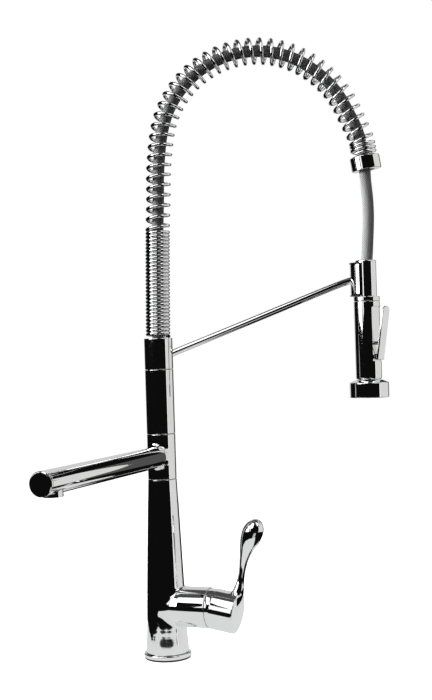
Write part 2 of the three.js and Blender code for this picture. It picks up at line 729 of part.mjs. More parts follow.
// The lever from its root in the hub to its tip: half-width, height, and how far out its middle line stands.
const LEVER_SECTIONS = [
  [5, 2, 24.5],
  [6.8, 14, 26.3],
  [5.8, 23, 27.6],
  [3.7, 35, 28.8],
  [3.3, 44, 29.2],
  [4.4, 55.3, 29.6],
  [6.9, 66.8, 31.3],
  [9.8, 76.7, 33.6],
  [10.9, 84.2, 35],
  [10.4, 90.7, 36],
  [7.2, 97, 37],
  [0, 100.9, 37.6],
];
const leverOffset = (height) => between(LEVER_SECTIONS.map(([, start, offset]) => [start, offset]), height);

function addHandle() {
  const hub = [
    [0, HUB_RIM],
    [HUB_RADIUS, HUB_RIM],
    [HUB_RADIUS, HUB_END - 1],
    [HUB_RADIUS - 1, HUB_END],
    [0, HUB_END],
  ];
  const root = LEVER_SECTIONS[0][1];
  const profile = new THREE.SplineCurve(LEVER_SECTIONS.map(([radius, height]) => new THREE.Vector2(radius, height)));
  const outline = profile.getPoints(16).map((point) => [Math.max(0, point.x), point.y]);
  const lever = revolve([[0, root], ...outline], COARSE);
  const places = lever.attributes.position;
  for (let index = 0; index < places.count; index += 1) {
    places.setX(index, places.getX(index) + leverOffset(places.getZ(index)));
  }
  const hollow = alongX(new THREE.SphereGeometry(HUB_HOLLOW, FINE, 14).rotateX(Math.PI / 2));
  const socket = alongX(disc(STEM_RADIUS + GAP, 15, 25.5, COARSE));
  const screwHole = disc(2.3, -30, -2, 12).rotateX(Math.PI / 2).translate(24.5, 0, 0);
  add(handle, "lever_handle", cut(join(alongX(revolve(hub)), lever), hollow, socket, screwHole), CHROME);
  add(handle, "valve_stem", alongX(disc(STEM_RADIUS, 0.9, 25.2, COARSE)), BRASS);
  const screw = disc(2, 4.2, 14, 12).rotateX(-Math.PI / 2).translate(24.5, 0, 0);
  add(handle, "set_screw", screw, STEEL);
}

function addStemYoke() {
  const end = CARTRIDGE_START + CARTRIDGE_LENGTH - TILT_PIVOT;
  add(stemGroup, "stem_yoke", alongX(disc(6.5, end + GAP, -1, COARSE)), BLACK_PLASTIC);
}

// ---------------------------------------------------------------- assembly

addBase();
addBody();
addValve();
addColumnFittings();
addSpout();
addOutlet();
addArm();
addSpring();
addArchHose();
addDropHose();
addHeadTube();
addHeadBody();
addPlunger();
addNozzle();
addSqueezeLever();
addStemYoke();
addHandle();

export default faucet;
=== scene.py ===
"""Looks of a chrome kitchen faucet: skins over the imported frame, materials, stage, lights and camera.

Shapes are worked out in millimetres, in the frame's own axes, and skin() turns them into metres.
"""
import json
import math

import bmesh
import bpy
import numpy as np
from mathutils import Matrix, Vector


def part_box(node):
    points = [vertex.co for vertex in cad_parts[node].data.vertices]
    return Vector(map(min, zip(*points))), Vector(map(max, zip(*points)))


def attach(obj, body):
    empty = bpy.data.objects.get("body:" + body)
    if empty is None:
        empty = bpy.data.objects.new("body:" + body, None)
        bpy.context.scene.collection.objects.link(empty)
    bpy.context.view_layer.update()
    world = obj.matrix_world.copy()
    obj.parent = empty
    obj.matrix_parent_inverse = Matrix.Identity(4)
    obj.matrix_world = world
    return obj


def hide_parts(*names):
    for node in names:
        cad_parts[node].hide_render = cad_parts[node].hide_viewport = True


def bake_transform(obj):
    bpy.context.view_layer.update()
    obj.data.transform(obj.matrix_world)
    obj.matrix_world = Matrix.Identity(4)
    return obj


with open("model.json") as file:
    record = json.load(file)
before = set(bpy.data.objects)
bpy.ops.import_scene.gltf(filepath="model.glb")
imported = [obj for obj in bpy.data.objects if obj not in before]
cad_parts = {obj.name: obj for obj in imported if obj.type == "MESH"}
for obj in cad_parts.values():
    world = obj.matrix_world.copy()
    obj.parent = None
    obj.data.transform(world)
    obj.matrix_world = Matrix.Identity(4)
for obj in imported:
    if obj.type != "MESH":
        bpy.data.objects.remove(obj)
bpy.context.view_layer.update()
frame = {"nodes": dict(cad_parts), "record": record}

MM = 0.001

# -------------------- driving dimensions, in millimetres

# A bare part's name is its radius, and a bore is a radius too.
FLANGE = 25.0
FLANGE_STEP = 19.0  # the ring that goes down through the gasket
FLANGE_BORE = 17.5
INLET_ASIDE, INLET_BACK = 9.5, 5.0
INLET_HOLE = 5.6
STUD_AT = (0, -12.0)
STUD_HOLE = 3.4
FOOT = 22.8  # of the column
TAPER = [(21.3, 26), (19.4, 80), (17.2, 136)]  # the column's radius and height on the way up
COLUMN = 15.0  # above the taper
COLUMN_BORE = 12.4
SEAM_ROUND = 0.4  # rounded rims where two column pieces meet
SEAM_GAP = 0.4
WASHER = 13.8  # at each seam
WASHER_BORE = 12.2
BOSS = 21.0
BOSS_HEIGHT = 53.8
TILT_PIVOT = 50.3  # the handle's pivot along the boss
HANDLE_TILT = math.radians(9)
HUB = 20.9
HUB_RIM = 4.6
HUB_END = 30.0
SCREW_REACH = 24.5
DOME = 20.3
DOME_HOLE = 12.0
SPOUT = 11.25
SPOUT_BORE = 9.4
OUTLET = 9.15
OUTLET_BORE = 7.6
OUTLET_SETBACK = 22.0
AERATOR = 7.2
ARM_HEADING = math.radians(21)
HEAD_REACH = 220.7
LEVER_HEADING = math.radians(-35.2)  # from the arm's heading
LEVER_LEAN = math.radians(9)
LEVER_PIN = (10.8, 0, 309.5)
LEVER_PIN_RADIUS = 0.9
PLUNGER_HEIGHT = 14  # above the lever's pin
ROD = 3.5
HOSE = 6.1
WIRE = 1.85
CLIP = 16.6
CLIP_BORE = 13.2
CLIP_RIM = 17.2
LINER_BORE = 11.45
CLIP_FROM = math.radians(50)
CLIP_TO = math.radians(237)
HEAD = 13.7
NECK = 11.0
NECK_BORE = 8.8
HEAD_BORE = 8.6
NOZZLE = 20.6
NOZZLE_BORE = 17.4

FINE = 128  # sides of a large round piece
OVERRUN = 6  # how far a rough shape runs past the plane that cuts it
BORE_FOLD = [(1.8, 0), (0, -8)]  # in from a cut rim, and down its bore
TURN = 2 * math.pi
UPRIGHT = Matrix.Identity(4)
ALONG_X = Matrix.Rotation(math.pi / 2, 4, "Y")
ALONG_FRONT = Matrix.Rotation(math.pi / 2, 4, "X")
ARM = Matrix.Rotation(ARM_HEADING, 4, "Z")
HEAD_AXIS = ARM @ Matrix.Translation((HEAD_REACH, 0, 0))
LEVER_SIDE = HEAD_AXIS @ Matrix.Rotation(LEVER_HEADING, 4, "Z")
SQUEEZE = LEVER_SIDE @ Matrix.Translation(LEVER_PIN) @ Matrix.Rotation(LEVER_LEAN, 4, "Y")
BOSS_AXIS = Matrix.Translation((0, 0, BOSS_HEIGHT))
PIVOT = Matrix.Translation((TILT_PIVOT, 0, BOSS_HEIGHT))
HANDLE = PIVOT @ Matrix.Rotation(HANDLE_TILT, 4, "Y")


def heights(node):
    """Lowest and highest point of a CAD node."""
    low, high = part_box(node)
    return low[2] / MM, high[2] / MM


# -------------------- shapes


def rounded(*corners, steps=4):
    """A closed outline from (radius, height, fillet) corners. A sharp corner leaves the fillet out."""
    places = [np.array(corner[:2], float) for corner in corners]
    outline = []
    for index, corner in enumerate(corners):
        here = places[index]
        if len(corner) < 3:
            outline.append(tuple(here))
            continue
        back = places[index - 1] - here
        ahead = places[(index + 1) % len(places)] - here
        back, ahead = back / np.linalg.norm(back), ahead / np.linalg.norm(ahead)
        half = math.acos(np.clip(back @ ahead, -1, 1)) / 2
        middle = (back + ahead) / np.linalg.norm(back + ahead)
        centre = here + middle * corner[2] / math.sin(half)
        first = here + back * corner[2] / math.tan(half) - centre
        last = here + ahead * corner[2] / math.tan(half) - centre
        sweep_angle = math.pi - 2 * half
        for step in range(steps + 1):
            share = step / steps
            mix = math.sin((1 - share) * sweep_angle) * first + math.sin(share * sweep_angle) * last
            outline.append(tuple(centre + mix / math.sin(sweep_angle)))
    return outline


def curve(points, steps=12):
    """A smooth line through the points, each stretch in so many steps."""
    points = np.array(points, float)
    ends = 2 * points[0] - points[1], 2 * points[-1] - points[-2]
    padded = np.vstack([ends[0], points, ends[1]])
    share = np.linspace(0, 1, steps, endpoint=False)[:, None]
    stretches = []
    for before, start, end, after in zip(padded, padded[1:], padded[2:], padded[3:]):
        pairs = ((before, start), (start, end), (end, after))
        gaps = [np.linalg.norm(there - here) ** 0.5 for here, there in pairs]
        inwards = (start - before) / gaps[0]
        across = (end - start) / gaps[1]
        outwards = (after - end) / gaps[2]
        leaving = inwards - (end - before) / (gaps[0] + gaps[1]) + across
        arriving = across - (after - start) / (gaps[1] + gaps[2]) + outwards
        stretches.append(
            (2 * share**3 - 3 * share**2 + 1) * start
            + (share**3 - 2 * share**2 + share) * leaving * gaps[1]
            + (3 * share**2 - 2 * share**3) * end
            + (share**3 - share**2) * arriving * gaps[1]
        )
    return np.vstack([*stretches, points[-1:]])


def lengths(path):
    """How far along the path each of its points is."""
    return np.concatenate([[0], np.cumsum(np.linalg.norm(np.diff(path, axis=0), axis=1))])


def evenly(path, count):
    """The same path through so many evenly spaced points."""
    along = lengths(path)
    stops = np.linspace(0, along[-1], count)
    return np.stack([np.interp(stops, along, path[:, axis]) for axis in range(3)], axis=1)


def supported(outline, margin=0.12, shortest=1.5):
    """The outline with two more corners on each long side, so that the side's shading stays straight."""
    points = []
    for here, ahead in zip(outline, [*outline[1:], outline[0]]):
        points.append(tuple(here))
        gap = math.dist(here, ahead)
        if gap > shortest:
            for share in (margin / gap, 1 - margin / gap):
                points.append(tuple(a + (b - a) * share for a, b in zip(here, ahead)))
    return points


def lathe(outline, sides=96):
    """Turns a closed outline of (radius, height) round the Z axis."""
    outline = supported(outline)
    bm = bmesh.new()
    rings = []
    for radius, height in outline:
        angles = [TURN * side / sides for side in range(sides)]
        rings.append([bm.verts.new((radius * math.cos(a), radius * math.sin(a), height)) for a in angles])
    for lower, upper in zip(rings, rings[1:] + rings[:1]):
        for side in range(sides):
            following = (side + 1) % sides
            bm.faces.new((lower[side], lower[following], upper[following], upper[side]))
    bmesh.ops.remove_doubles(bm, verts=bm.verts, dist=1e-4)
    bmesh.ops.recalc_face_normals(bm, faces=bm.faces)
    return bm


def tube(outer, inner, bottom, top, soft=0.3, sides=96):
    """A ring or tube with softened edges."""
    return lathe(rounded((inner, bottom), (outer, bottom, soft), (outer, top, soft), (inner, top)), sides)


def sweep(path, radius, sides, relief=None):
    """A round bar along a path. relief(u, v) raises its skin; u runs once round, v along in bar widths."""
    path = np.asarray(path, float)
    along = lengths(path)
    tangents = np.gradient(path, along, axis=0)
    tangents /= np.linalg.norm(tangents, axis=1)[:, None]
    normal = np.cross(tangents[0], (0, 1, 0) if abs(tangents[0][1]) < 0.9 else (1, 0, 0))
    normals = []
    for tangent in tangents:
        normal = normal - (normal @ tangent) * tangent
        normal /= np.linalg.norm(normal)
        normals.append(normal)
    normals = np.array(normals)
    sideways = np.cross(tangents, normals)
    u = np.arange(sides) / sides
    v = along / (TURN * radius)
    reach = np.full((len(path), sides), float(radius))
    if relief is not None:
        reach += relief(u[None, :], v[:, None])
    cosines = np.cos(TURN * u)[:, None]
    sines = np.sin(TURN * u)[:, None]
    round_about = cosines * normals[:, None] + sines * sideways[:, None]
    places = path[:, None] + reach[..., None] * round_about
    bm = bmesh.new()
    rings = [[bm.verts.new(place) for place in ring] for ring in places]
    layer = bm.loops.layers.uv.new("UVMap")
    for row, (lower, upper) in enumerate(zip(rings, rings[1:])):
        for side in range(sides):
            following = (side + 1) % sides
            face = bm.faces.new((lower[side], lower[following], upper[following], upper[side]))
            # The seam's last column has u = 1, so the pattern closes there.
            corners = ((side, row), (side + 1, row), (side + 1, row + 1), (side, row + 1))
            for loop, (across, up) in zip(face.loops, corners):
                loop[layer].uv = (across / sides, v[up])
    bm.faces.new(rings[0][::-1])
    bm.faces.new(rings[-1])
    bmesh.ops.recalc_face_normals(bm, faces=bm.faces)
    return bm


def arc_sweep(outline, start, end, steps=48):
    """Turns an outline of (radius, height) about Z from one heading to another, with closed ends."""
    outline = supported(outline)
    bm = bmesh.new()
    rings = []
    for step in range(steps + 1):
        angle = start + (end - start) * step / steps
        rings.append([bm.verts.new((r * math.cos(angle), r * math.sin(angle), h)) for r, h in outline])
    for near, far in zip(rings, rings[1:]):
        for index in range(len(outline)):
            following = (index + 1) % len(outline)
            bm.faces.new((near[index], near[following], far[following], far[index]))
    bm.faces.new(rings[0])
    bm.faces.new(rings[-1][::-1])
    bmesh.ops.recalc_face_normals(bm, faces=bm.faces)
    return bm


def thicken(bm, faces, shift):
    """Extrudes the faces by a shift, into a solid."""
    made = bmesh.ops.extrude_face_region(bm, geom=faces)["geom"]
    verts = [item for item in made if isinstance(item, bmesh.types.BMVert)]
    bmesh.ops.translate(bm, verts=verts, vec=shift)
    bmesh.ops.recalc_face_normals(bm, faces=bm.faces)


def soften(bm, edges, radius, clamp=False):
    """Rounds the edges. clamp keeps close roundings from running over each other."""
    bmesh.ops.bevel(
        bm, geom=edges, offset=radius, segments=3, profile=0.5, affect="EDGES", clamp_overlap=clamp
    )


def keep_flat(bm, margin, least=20.0):
    """Rings each flat face over an area with a narrow strip, so that its shading stays flat inside."""
    large = [face for face in bm.faces if face.calc_area() > least]
    bmesh.ops.inset_individual(bm, faces=large, thickness=margin)


def plate(outline, thickness, bevel):
    """A flat piece: an outline in the YZ plane, thickened along X, with rounded edges."""
    bm = bmesh.new()
    face = bm.faces.new([bm.verts.new((0, y, z)) for y, z in outline])
    thicken(bm, [face], (thickness, 0, 0))
    rims = [edge for edge in bm.edges if abs(edge.verts[0].co.x - edge.verts[1].co.x) < 1e-6]
    soften(bm, rims, bevel)
    keep_flat(bm, bevel / 5)
    return bm


def as_mesh(name, bm):
    """The shape as a mesh. It uses the shape up."""
    mesh = bpy.data.meshes.new(name)
    bm.to_mesh(mesh)
    bm.free()
    return mesh


def in_scene(name, data):
    thing = bpy.data.objects.new(name, data)
    bpy.context.scene.collection.objects.link(thing)
    return thing


def modified(thing):
    """A new mesh of the object with its modifiers applied."""
    return bpy.data.meshes.new_from_object(
        thing.evaluated_get(bpy.context.evaluated_depsgraph_get())
    )


def carved(shape, cutter, soft):
    """The shape less the cutter, with its sharp edges rounded."""
    block, tool = (in_scene("carving", as_mesh("carving", bm)) for bm in (shape, cutter))
    cut = block.modifiers.new("cut", "BOOLEAN")
    cut.operation = "DIFFERENCE"
    cut.solver = "EXACT"
    cut.object = tool
    result = modified(block)
    bm = bmesh.new()
    bm.from_mesh(result)
    for mesh in (result, block.data, tool.data):
        bpy.data.meshes.remove(mesh)
    sharp = math.radians(30)
    rims = [edge for edge in bm.edges if edge.is_manifold and edge.calc_face_angle() > sharp]
    soften(bm, rims, soft, clamp=True)
    return bm


def joined(*shapes):
    """Several shapes as one."""
    whole = bmesh.new()
    for shape in shapes:
        mesh = as_mesh("joined", shape)
        whole.from_mesh(mesh)
        bpy.data.meshes.remove(mesh)
    return whole


def placed(shape, place):
    """Moves the shape to its place, and hands it back."""
    shape.transform(place)
    return shape


# -------------------- skins that flow from one shape into another


class Turned:
    """A turned shape in its place. lean(height) shifts its middle line along its own X."""

    def __init__(self, outline, place=UPRIGHT, lean=None):
        self.outline = outline
        self.place = place
        self.lean = lean

    def rough(self):
        shape = lathe(self.outline, 64)
        if self.lean is not None:
            for vert in shape.verts:
                vert.co.x += self.lean(vert.co.z)
        return placed(shape, self.place)

    def distance(self, points):
        """How far outside the shape each point is, less than 0 inside it."""
        back = np.array(self.place.inverted())
        x, y, height = (points @ back[:3, :3].T + back[:3, 3]).T
        if self.lean is not None:
            x = x - self.lean(height)
        radius = np.hypot(x, y)
        nearest = np.full(radius.shape, np.inf)
        inside = np.zeros(radius.shape, bool)
        for (r0, h0), (r1, h1) in zip(self.outline, self.outline[1:] + self.outline[:1]):
            dr, dh = r1 - r0, h1 - h0
            squared = dr * dr + dh * dh
            if squared < 1e-12:
                continue
            share = np.clip(((radius - r0) * dr + (height - h0) * dh) / squared, 0, 1)
            on_axis = max(r0, r1) <= 1e-6
            if not on_axis:
                gap = np.hypot(radius - r0 - share * dr, height - h0 - share * dh)
                nearest = np.minimum(nearest, gap)
            if dh:
                crossed = (h0 > height) != (h1 > height)
                inside ^= crossed & (radius < r0 + (height - h0) * dr / dh)
        return np.where(inside, -nearest, nearest)


SETTLING_STEPS = 8
PROBE = 0.02  # how far on each side of a point the slope of the distance is measured
LEAST_STEEP = 0.25  # keeps a point from jumping where the slope is nearly flat


def flowing(shapes, fillet, voxel, holes=()):
    """One skin round the shapes, with a round fillet wherever two of them meet, less the holes.

    A voxel skin is made first, and then its points settle on the surface where distance is 0."""

    def distance(points):
        total = shapes[0].distance(points)
        for shape in shapes[1:]:
            other = shape.distance(points)
            corner = np.hypot(np.maximum(fillet - total, 0), np.maximum(fillet - other, 0))
            total = np.maximum(fillet, np.minimum(total, other)) - corner
        for hole in holes:
            total = np.maximum(total, -hole.distance(points))
        return total

    rough = as_mesh("rough", joined(*(shape.rough() for shape in shapes)))
    draft = in_scene("rough", rough)
    remesh = draft.modifiers.new("voxels", "REMESH")
    remesh.mode = "VOXEL"
    remesh.voxel_size = voxel
    fine = modified(draft)
    bpy.data.objects.remove(draft)
    bpy.data.meshes.remove(rough)

    points = np.zeros(len(fine.vertices) * 3)
    fine.vertices.foreach_get("co", points)
    points = points.reshape(-1, 3)
    for _ in range(SETTLING_STEPS):
        value = distance(points)
        rises = [distance(points + step) - distance(points - step) for step in PROBE * np.eye(3)]
        slope = np.stack(rises, axis=1) / (2 * PROBE)
        steep = np.maximum((slope**2).sum(axis=1), LEAST_STEEP)
        points -= np.clip(value / steep, -voxel, voxel)[:, None] * slope
    fine.vertices.foreach_set("co", points.ravel())
    bm = bmesh.new()
    bm.from_mesh(fine)
    bpy.data.meshes.remove(fine)
    return bm


def cut_rim(bm, origin, normal, fillet, folds):
    """Ends the skin flat at a plane with a rounded rim, and folds it on by (inwards, outwards) steps."""
    origin, normal = Vector(origin), Vector(normal).normalized()
    start = origin - normal * fillet
    everything = bm.verts[:] + bm.edges[:] + bm.faces[:]
    found = bmesh.ops.bisect_plane(
        bm, geom=everything, dist=0.15, plane_co=start, plane_no=normal, clear_outer=True
    )["geom_cut"]
    edges = [item for item in found if isinstance(item, bmesh.types.BMEdge)]
    for vert in {vert for edge in edges for vert in edge.verts}:
        vert.co -= normal * (vert.co - start).dot(normal)
    steps = 4
    turn = [math.pi / 2 * step / steps for step in range(steps + 1)]
    arc = [
        (fillet * (math.cos(a) - math.cos(b)), fillet * (math.sin(b) - math.sin(a)))
        for a, b in zip(turn, turn[1:])
    ]
    for inwards, outwards in [*arc, *folds]:
        made = bmesh.ops.extrude_edge_only(bm, edges=edges)["geom"]
        verts = {item for item in made if isinstance(item, bmesh.types.BMVert)}
        new_edges = (item for item in made if isinstance(item, bmesh.types.BMEdge))
        edges = [edge for edge in new_edges if verts.issuperset(edge.verts)]
        for vert in verts:
            out = vert.co - origin
            out -= normal * out.dot(normal)
            vert.co += normal * outwards - out.normalized() * inwards
    bmesh.ops.edgeloop_fill(bm, edges=edges)


# -------------------- materials


class Look:
    """A Principled material with a few helpers for its procedural detail."""

    def __init__(self, name, color, roughness, metallic=0.0, **constants):
        self.material = bpy.data.materials.new(name)
        self.material.use_nodes = True
        self.tree = self.material.node_tree
        self.shader = self.tree.nodes["Principled BSDF"]
        self.shader.inputs["Base Color"].default_value = (*color, 1)
        self.shader.inputs["Roughness"].default_value = roughness
        self.shader.inputs["Metallic"].default_value = metallic
        for socket, value in constants.items():
            self.shader.inputs[socket.replace("_", " ")].default_value = value
        self.place = self.node("ShaderNodeTexCoord").outputs["Object"]

    def node(self, kind, **settings):
        made = self.tree.nodes.new(kind)
        for name, value in settings.items():
            setattr(made, name, value)
        return made

    def link(self, output, socket):
        self.tree.links.new(output, socket)

    def stretched(self, scale):
        mapping = self.node("ShaderNodeMapping")
        mapping.inputs["Scale"].default_value = scale
        self.link(self.place, mapping.inputs["Vector"])
        return mapping.outputs["Vector"]

    def noise(self, scale, detail=3.0, vector=None):
        noise = self.node("ShaderNodeTexNoise")
        noise.inputs["Scale"].default_value = scale
        noise.inputs["Detail"].default_value = detail
        self.link(vector or self.place, noise.inputs["Vector"])
        return noise.outputs["Fac"]

    def math(self, operation, first, second=0.0):
        node = self.node("ShaderNodeMath", operation=operation)
        for socket, value in zip(node.inputs, (first, second)):
            if isinstance(value, (int, float)):
                socket.default_value = value
            else:
                self.link(value, socket)
        return node.outputs[0]

    def ranged(self, value, low, high, start=0.3, end=0.7):
        node = self.node("ShaderNodeMapRange")
        for name, number in (("From Min", start), ("From Max", end), ("To Min", low), ("To Max", high)):
            node.inputs[name].default_value = number
        self.link(value, node.inputs["Value"])
        return node.outputs["Result"]

    def colors(self, value, low, high):
        """The base colour between two (value, color) stops."""
        ramp = self.node("ShaderNodeValToRGB")
        for element, (position, color) in zip(ramp.color_ramp.elements, (low, high)):
            element.position = position
            element.color = (*color, 1)
        self.link(value, ramp.inputs["Fac"])
        self.link(ramp.outputs["Color"], self.shader.inputs["Base Color"])

    def roughness(self, value):
        self.link(value, self.shader.inputs["Roughness"])

    def bump(self, height, distance, strength=1.0):
        bump = self.node("ShaderNodeBump")
        bump.inputs["Distance"].default_value = distance
        bump.inputs["Strength"].default_value = strength
        self.link(height, bump.inputs["Height"])
        self.link(bump.outputs["Normal"], self.shader.inputs["Normal"])


def chrome():
    """Bright plating: a mirror with the faintest haze, wiping marks and orange peel."""
    look = Look("polished_chrome", (0.9, 0.905, 0.91), 0.03, metallic=1.0)
    haze = look.noise(26.0, 4.0)
    wiping = look.noise(60.0, 2.0, look.stretched((9.0, 9.0, 0.7)))
    look.colors(haze, (0.3, (0.89, 0.895, 0.9)), (0.7, (0.93, 0.932, 0.935)))
    look.roughness(look.math("ADD", look.ranged(haze, 0.018, 0.04), look.ranged(wiping, 0.0, 0.014)))
    look.bump(look.noise(240.0, 1.0), 0.000004)
    return look.material


def brushed(name, color, low, high):
    """Turned or drawn metal with fine rings along its height."""
    look = Look(name, color, (low + high) / 2, metallic=1.0)
    rings = look.noise(900.0, 3.0, look.stretched((0.06, 0.06, 1.0)))
    tarnish = look.noise(90.0, 4.0)
    dark = tuple(0.8 * part for part in color)
    look.colors(tarnish, (0.35, dark), (0.65, color))
    look.roughness(look.ranged(rings, low, high))
    look.bump(rings, 0.00002, 0.6)
    return look.material


def rubber():
    look = Look("black_rubber", (0.018, 0.018, 0.019), 0.7)
    grain = look.noise(1400.0, 5.0)
    bloom = look.noise(120.0, 3.0)
    look.colors(bloom, (0.3, (0.014, 0.014, 0.015)), (0.7, (0.026, 0.026, 0.027)))
    look.roughness(look.ranged(grain, 0.6, 0.82))
    look.bump(grain, 0.00005, 0.7)
    return look.material


def moulded(name, color, low, high):
    """Moulded plastic with a fine grain and slightly uneven gloss."""
    look = Look(name, color, (low + high) / 2)
    grain = look.noise(2200.0, 3.0)
    pale = tuple(min(1.0, 1.12 * part + 0.004) for part in color)
    look.colors(look.noise(150.0, 3.0), (0.3, color), (0.7, pale))
    look.roughness(look.ranged(grain, low, high))
    look.bump(grain, 0.00002, 0.6)
    return look.material


BRAID_ROUND = 15  # yarns of each hand round the hose
BRAID_PITCH = 15  # how many of them one hose girth along the hose crosses


def braid_height(u, v):
    """0 to 1: diamonds where two hands of yarn cross."""
    first = BRAID_ROUND * u + BRAID_PITCH * v
    second = BRAID_ROUND * u - BRAID_PITCH * v
    return np.abs(np.sin(math.pi * first) * np.sin(math.pi * second))


def braided(name, shade=1.0):
    """Glossy grey yarn braided over the hose, darker in the gaps. shade darkens all of it: painted shade
    for a copy of the hose that lies in shadow.
    """
    gap = tuple(shade * part for part in (0.22, 0.225, 0.23))
    yarn = tuple(shade * part for part in (0.82, 0.825, 0.83))
    look = Look(name, yarn, 0.38, metallic=0.1)
    split = look.node("ShaderNodeSeparateXYZ")
    look.link(look.node("ShaderNodeTexCoord").outputs["UV"], split.inputs[0])
    across = look.math("MULTIPLY", split.outputs["X"], BRAID_ROUND)
    along = look.math("MULTIPLY", split.outputs["Y"], BRAID_PITCH)
    first = look.math("SINE", look.math("MULTIPLY", look.math("ADD", across, along), math.pi))
    second = look.math("SINE", look.math("MULTIPLY", look.math("SUBTRACT", across, along), math.pi))
    height = look.math("ABSOLUTE", look.math("MULTIPLY", first, second))
    threads = look.math("ADD", height, look.math("MULTIPLY", look.noise(2600.0, 2.0), 0.25))
    look.colors(threads, (0.1, gap), (0.75, yarn))
    look.roughness(look.ranged(height, 0.6, 0.36, 0.0, 1.0))
    look.bump(threads, 0.00025, 0.7)
    return look.material


def glowing(name, color, strength):
    """A lit or unlit card of the stage."""
    material = bpy.data.materials.new(name)
    material.use_nodes = True
    tree = material.node_tree
    tree.nodes.remove(tree.nodes["Principled BSDF"])
    emission = tree.nodes.new("ShaderNodeEmission")
    emission.inputs["Color"].default_value = (*color, 1)
    emission.inputs["Strength"].default_value = strength
    tree.links.new(emission.outputs[0], tree.nodes["Material Output"].inputs["Surface"])
    return material


LOOKS = {
    "chrome": chrome(),
    "brass": brushed("turned_brass", (0.66, 0.47, 0.2), 0.2, 0.38),
    "steel": brushed("drawn_steel", (0.56, 0.57, 0.59), 0.18, 0.34),
    "rubber": rubber(),
    "black_plastic": moulded("black_plastic", (0.02, 0.02, 0.022), 0.3, 0.45),
    "white_plastic": moulded("white_plastic", (0.74, 0.74, 0.71), 0.35, 0.5),
    "braided_hose": braided("braided_hose"),
}

SLOT_OF = {row["node"]: row["material_slot"] for row in frame["record"]["subparts"]}
BODIES = frame["record"]["behaviour"]["bodies"]
BODY_OF = {node: body for body, nodes in BODIES.items() for node in nodes}

for node, thing in frame["nodes"].items():
    thing.data.materials.clear()
    thing.data.materials.append(LOOKS[SLOT_OF[node]])


def skin(node, shape, place=UPRIGHT, sharp=35):
    """A piece that shows in place of a CAD node, in its finish. Edges over sharp degrees stay sharp."""
    mesh = as_mesh(node + "_skin", placed(shape, Matrix.Scale(MM, 4) @ place))
    mesh.shade_smooth()
    mesh.set_sharp_from_angle(angle=math.radians(sharp))
    mesh.materials.append(LOOKS[SLOT_OF[node]])
    thing = in_scene(node + "_skin", mesh)
    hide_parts(node)
    return thing


def riding(node, shape, place=UPRIGHT, sharp=35):
    """A skin that rides on its CAD node's body."""
    thing = skin(node, shape, place, sharp)
    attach(thing, BODY_OF[node])
    return thing


# -------------------- camera

CAMERA_HEADING = math.radians(21)  # the way to its right, from +X
CAMERA_BACK = 1264.0
CAMERA_ASIDE = 60.5
CAMERA_HEIGHT = 321.3
CAMERA_ROLL = math.radians(1.76)
CAMERA_LENS = 61.7
FILM_WIDTH = 36


def add_camera():
    right = Vector((math.cos(CAMERA_HEADING), math.sin(CAMERA_HEADING), 0))
    back = Vector((math.sin(CAMERA_HEADING), -math.cos(CAMERA_HEADING), 0))
    up = Vector((0, 0, 1))
    data = bpy.data.cameras.new("camera")
    data.lens = CAMERA_LENS
    data.sensor_width = FILM_WIDTH
    camera = in_scene("camera", data)
    turned_right = math.cos(CAMERA_ROLL) * right - math.sin(CAMERA_ROLL) * up
    turned_up = math.sin(CAMERA_ROLL) * right + math.cos(CAMERA_ROLL) * up
    spot = (right * CAMERA_ASIDE + back * CAMERA_BACK + up * CAMERA_HEIGHT) * MM
    turned = Matrix((turned_right, turned_up, back)).transposed().to_4x4()
    camera.matrix_world = Matrix.Translation(spot) @ turned
    bpy.context.scene.camera = camera


add_camera()

# -------------------- the free hose, from the nut to the head

# Reach from the head's axis in the arm's plane, and height.
DROP_ROUTE = [
    (2.3, 506.8),
    (2.6, 496),
    (3.3, 487),
    (4.1, 477),
    (4.5, 466),
    (4.4, 455),
    (3.8, 443),
    (3, 431),
    (2.2, 420),
    (1.7, 413.5),
    (1.5, 408.7),
]


def braid_relief(u, v):
    """How far the braid stands out of the hose's round skin: less than 0 in the gaps."""
    return 0.32 * (braid_height(u, v) - 0.85)


def add_drop_hose():
    path = curve([(reach, 0, height) for reach, height in DROP_ROUTE])
    braid = sweep(evenly(path, 260), HOSE, 96, braid_relief)
    hose = skin("drop_hose", braid, HEAD_AXIS, sharp=180)
    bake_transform(hose)


add_drop_hose()

# -------------------- base, column and valve


def add_base():
    top = heights("base_flange")[1]
    gasket = heights("deck_gasket")
    seam = gasket[1] + 0.3
    ring = rounded(
        (FLANGE_STEP, 0), (FLANGE_STEP, seam), (FLANGE, seam, 0.4),
        (FLANGE, top, 1.2), (FLANGE_BORE, top), (FLANGE_BORE, 0),
    )
    riding("base_flange", joined(lathe(ring, FINE), base_web()))
    riding("deck_gasket", tube(FLANGE - 0.6, FLANGE_STEP + 0.3, *gasket, sides=FINE))
    for node, side in (("hot_inlet", -1), ("cold_inlet", 1)):
        bottom, top = heights(node)
        bore = 3.6
        outline = [(bore, bottom), *thread(5.3, 0.35, bottom, top, 12), (bore, top)]
        riding(node, lathe(outline, 48), Matrix.Translation((side * INLET_ASIDE, INLET_BACK, 0)))


def thread(radius, depth, bottom, top, ridges):
    """An outline's zigzag side: ridges from bottom to top."""
    points = []
    for index in range(ridges):
        start = bottom + (top - bottom) * index / ridges
        end = bottom + (top - bottom) * (index + 1) / ridges
        points += [(radius - depth, start), (radius, (start + end) / 2)]
    return [*points, (radius - depth, top)]


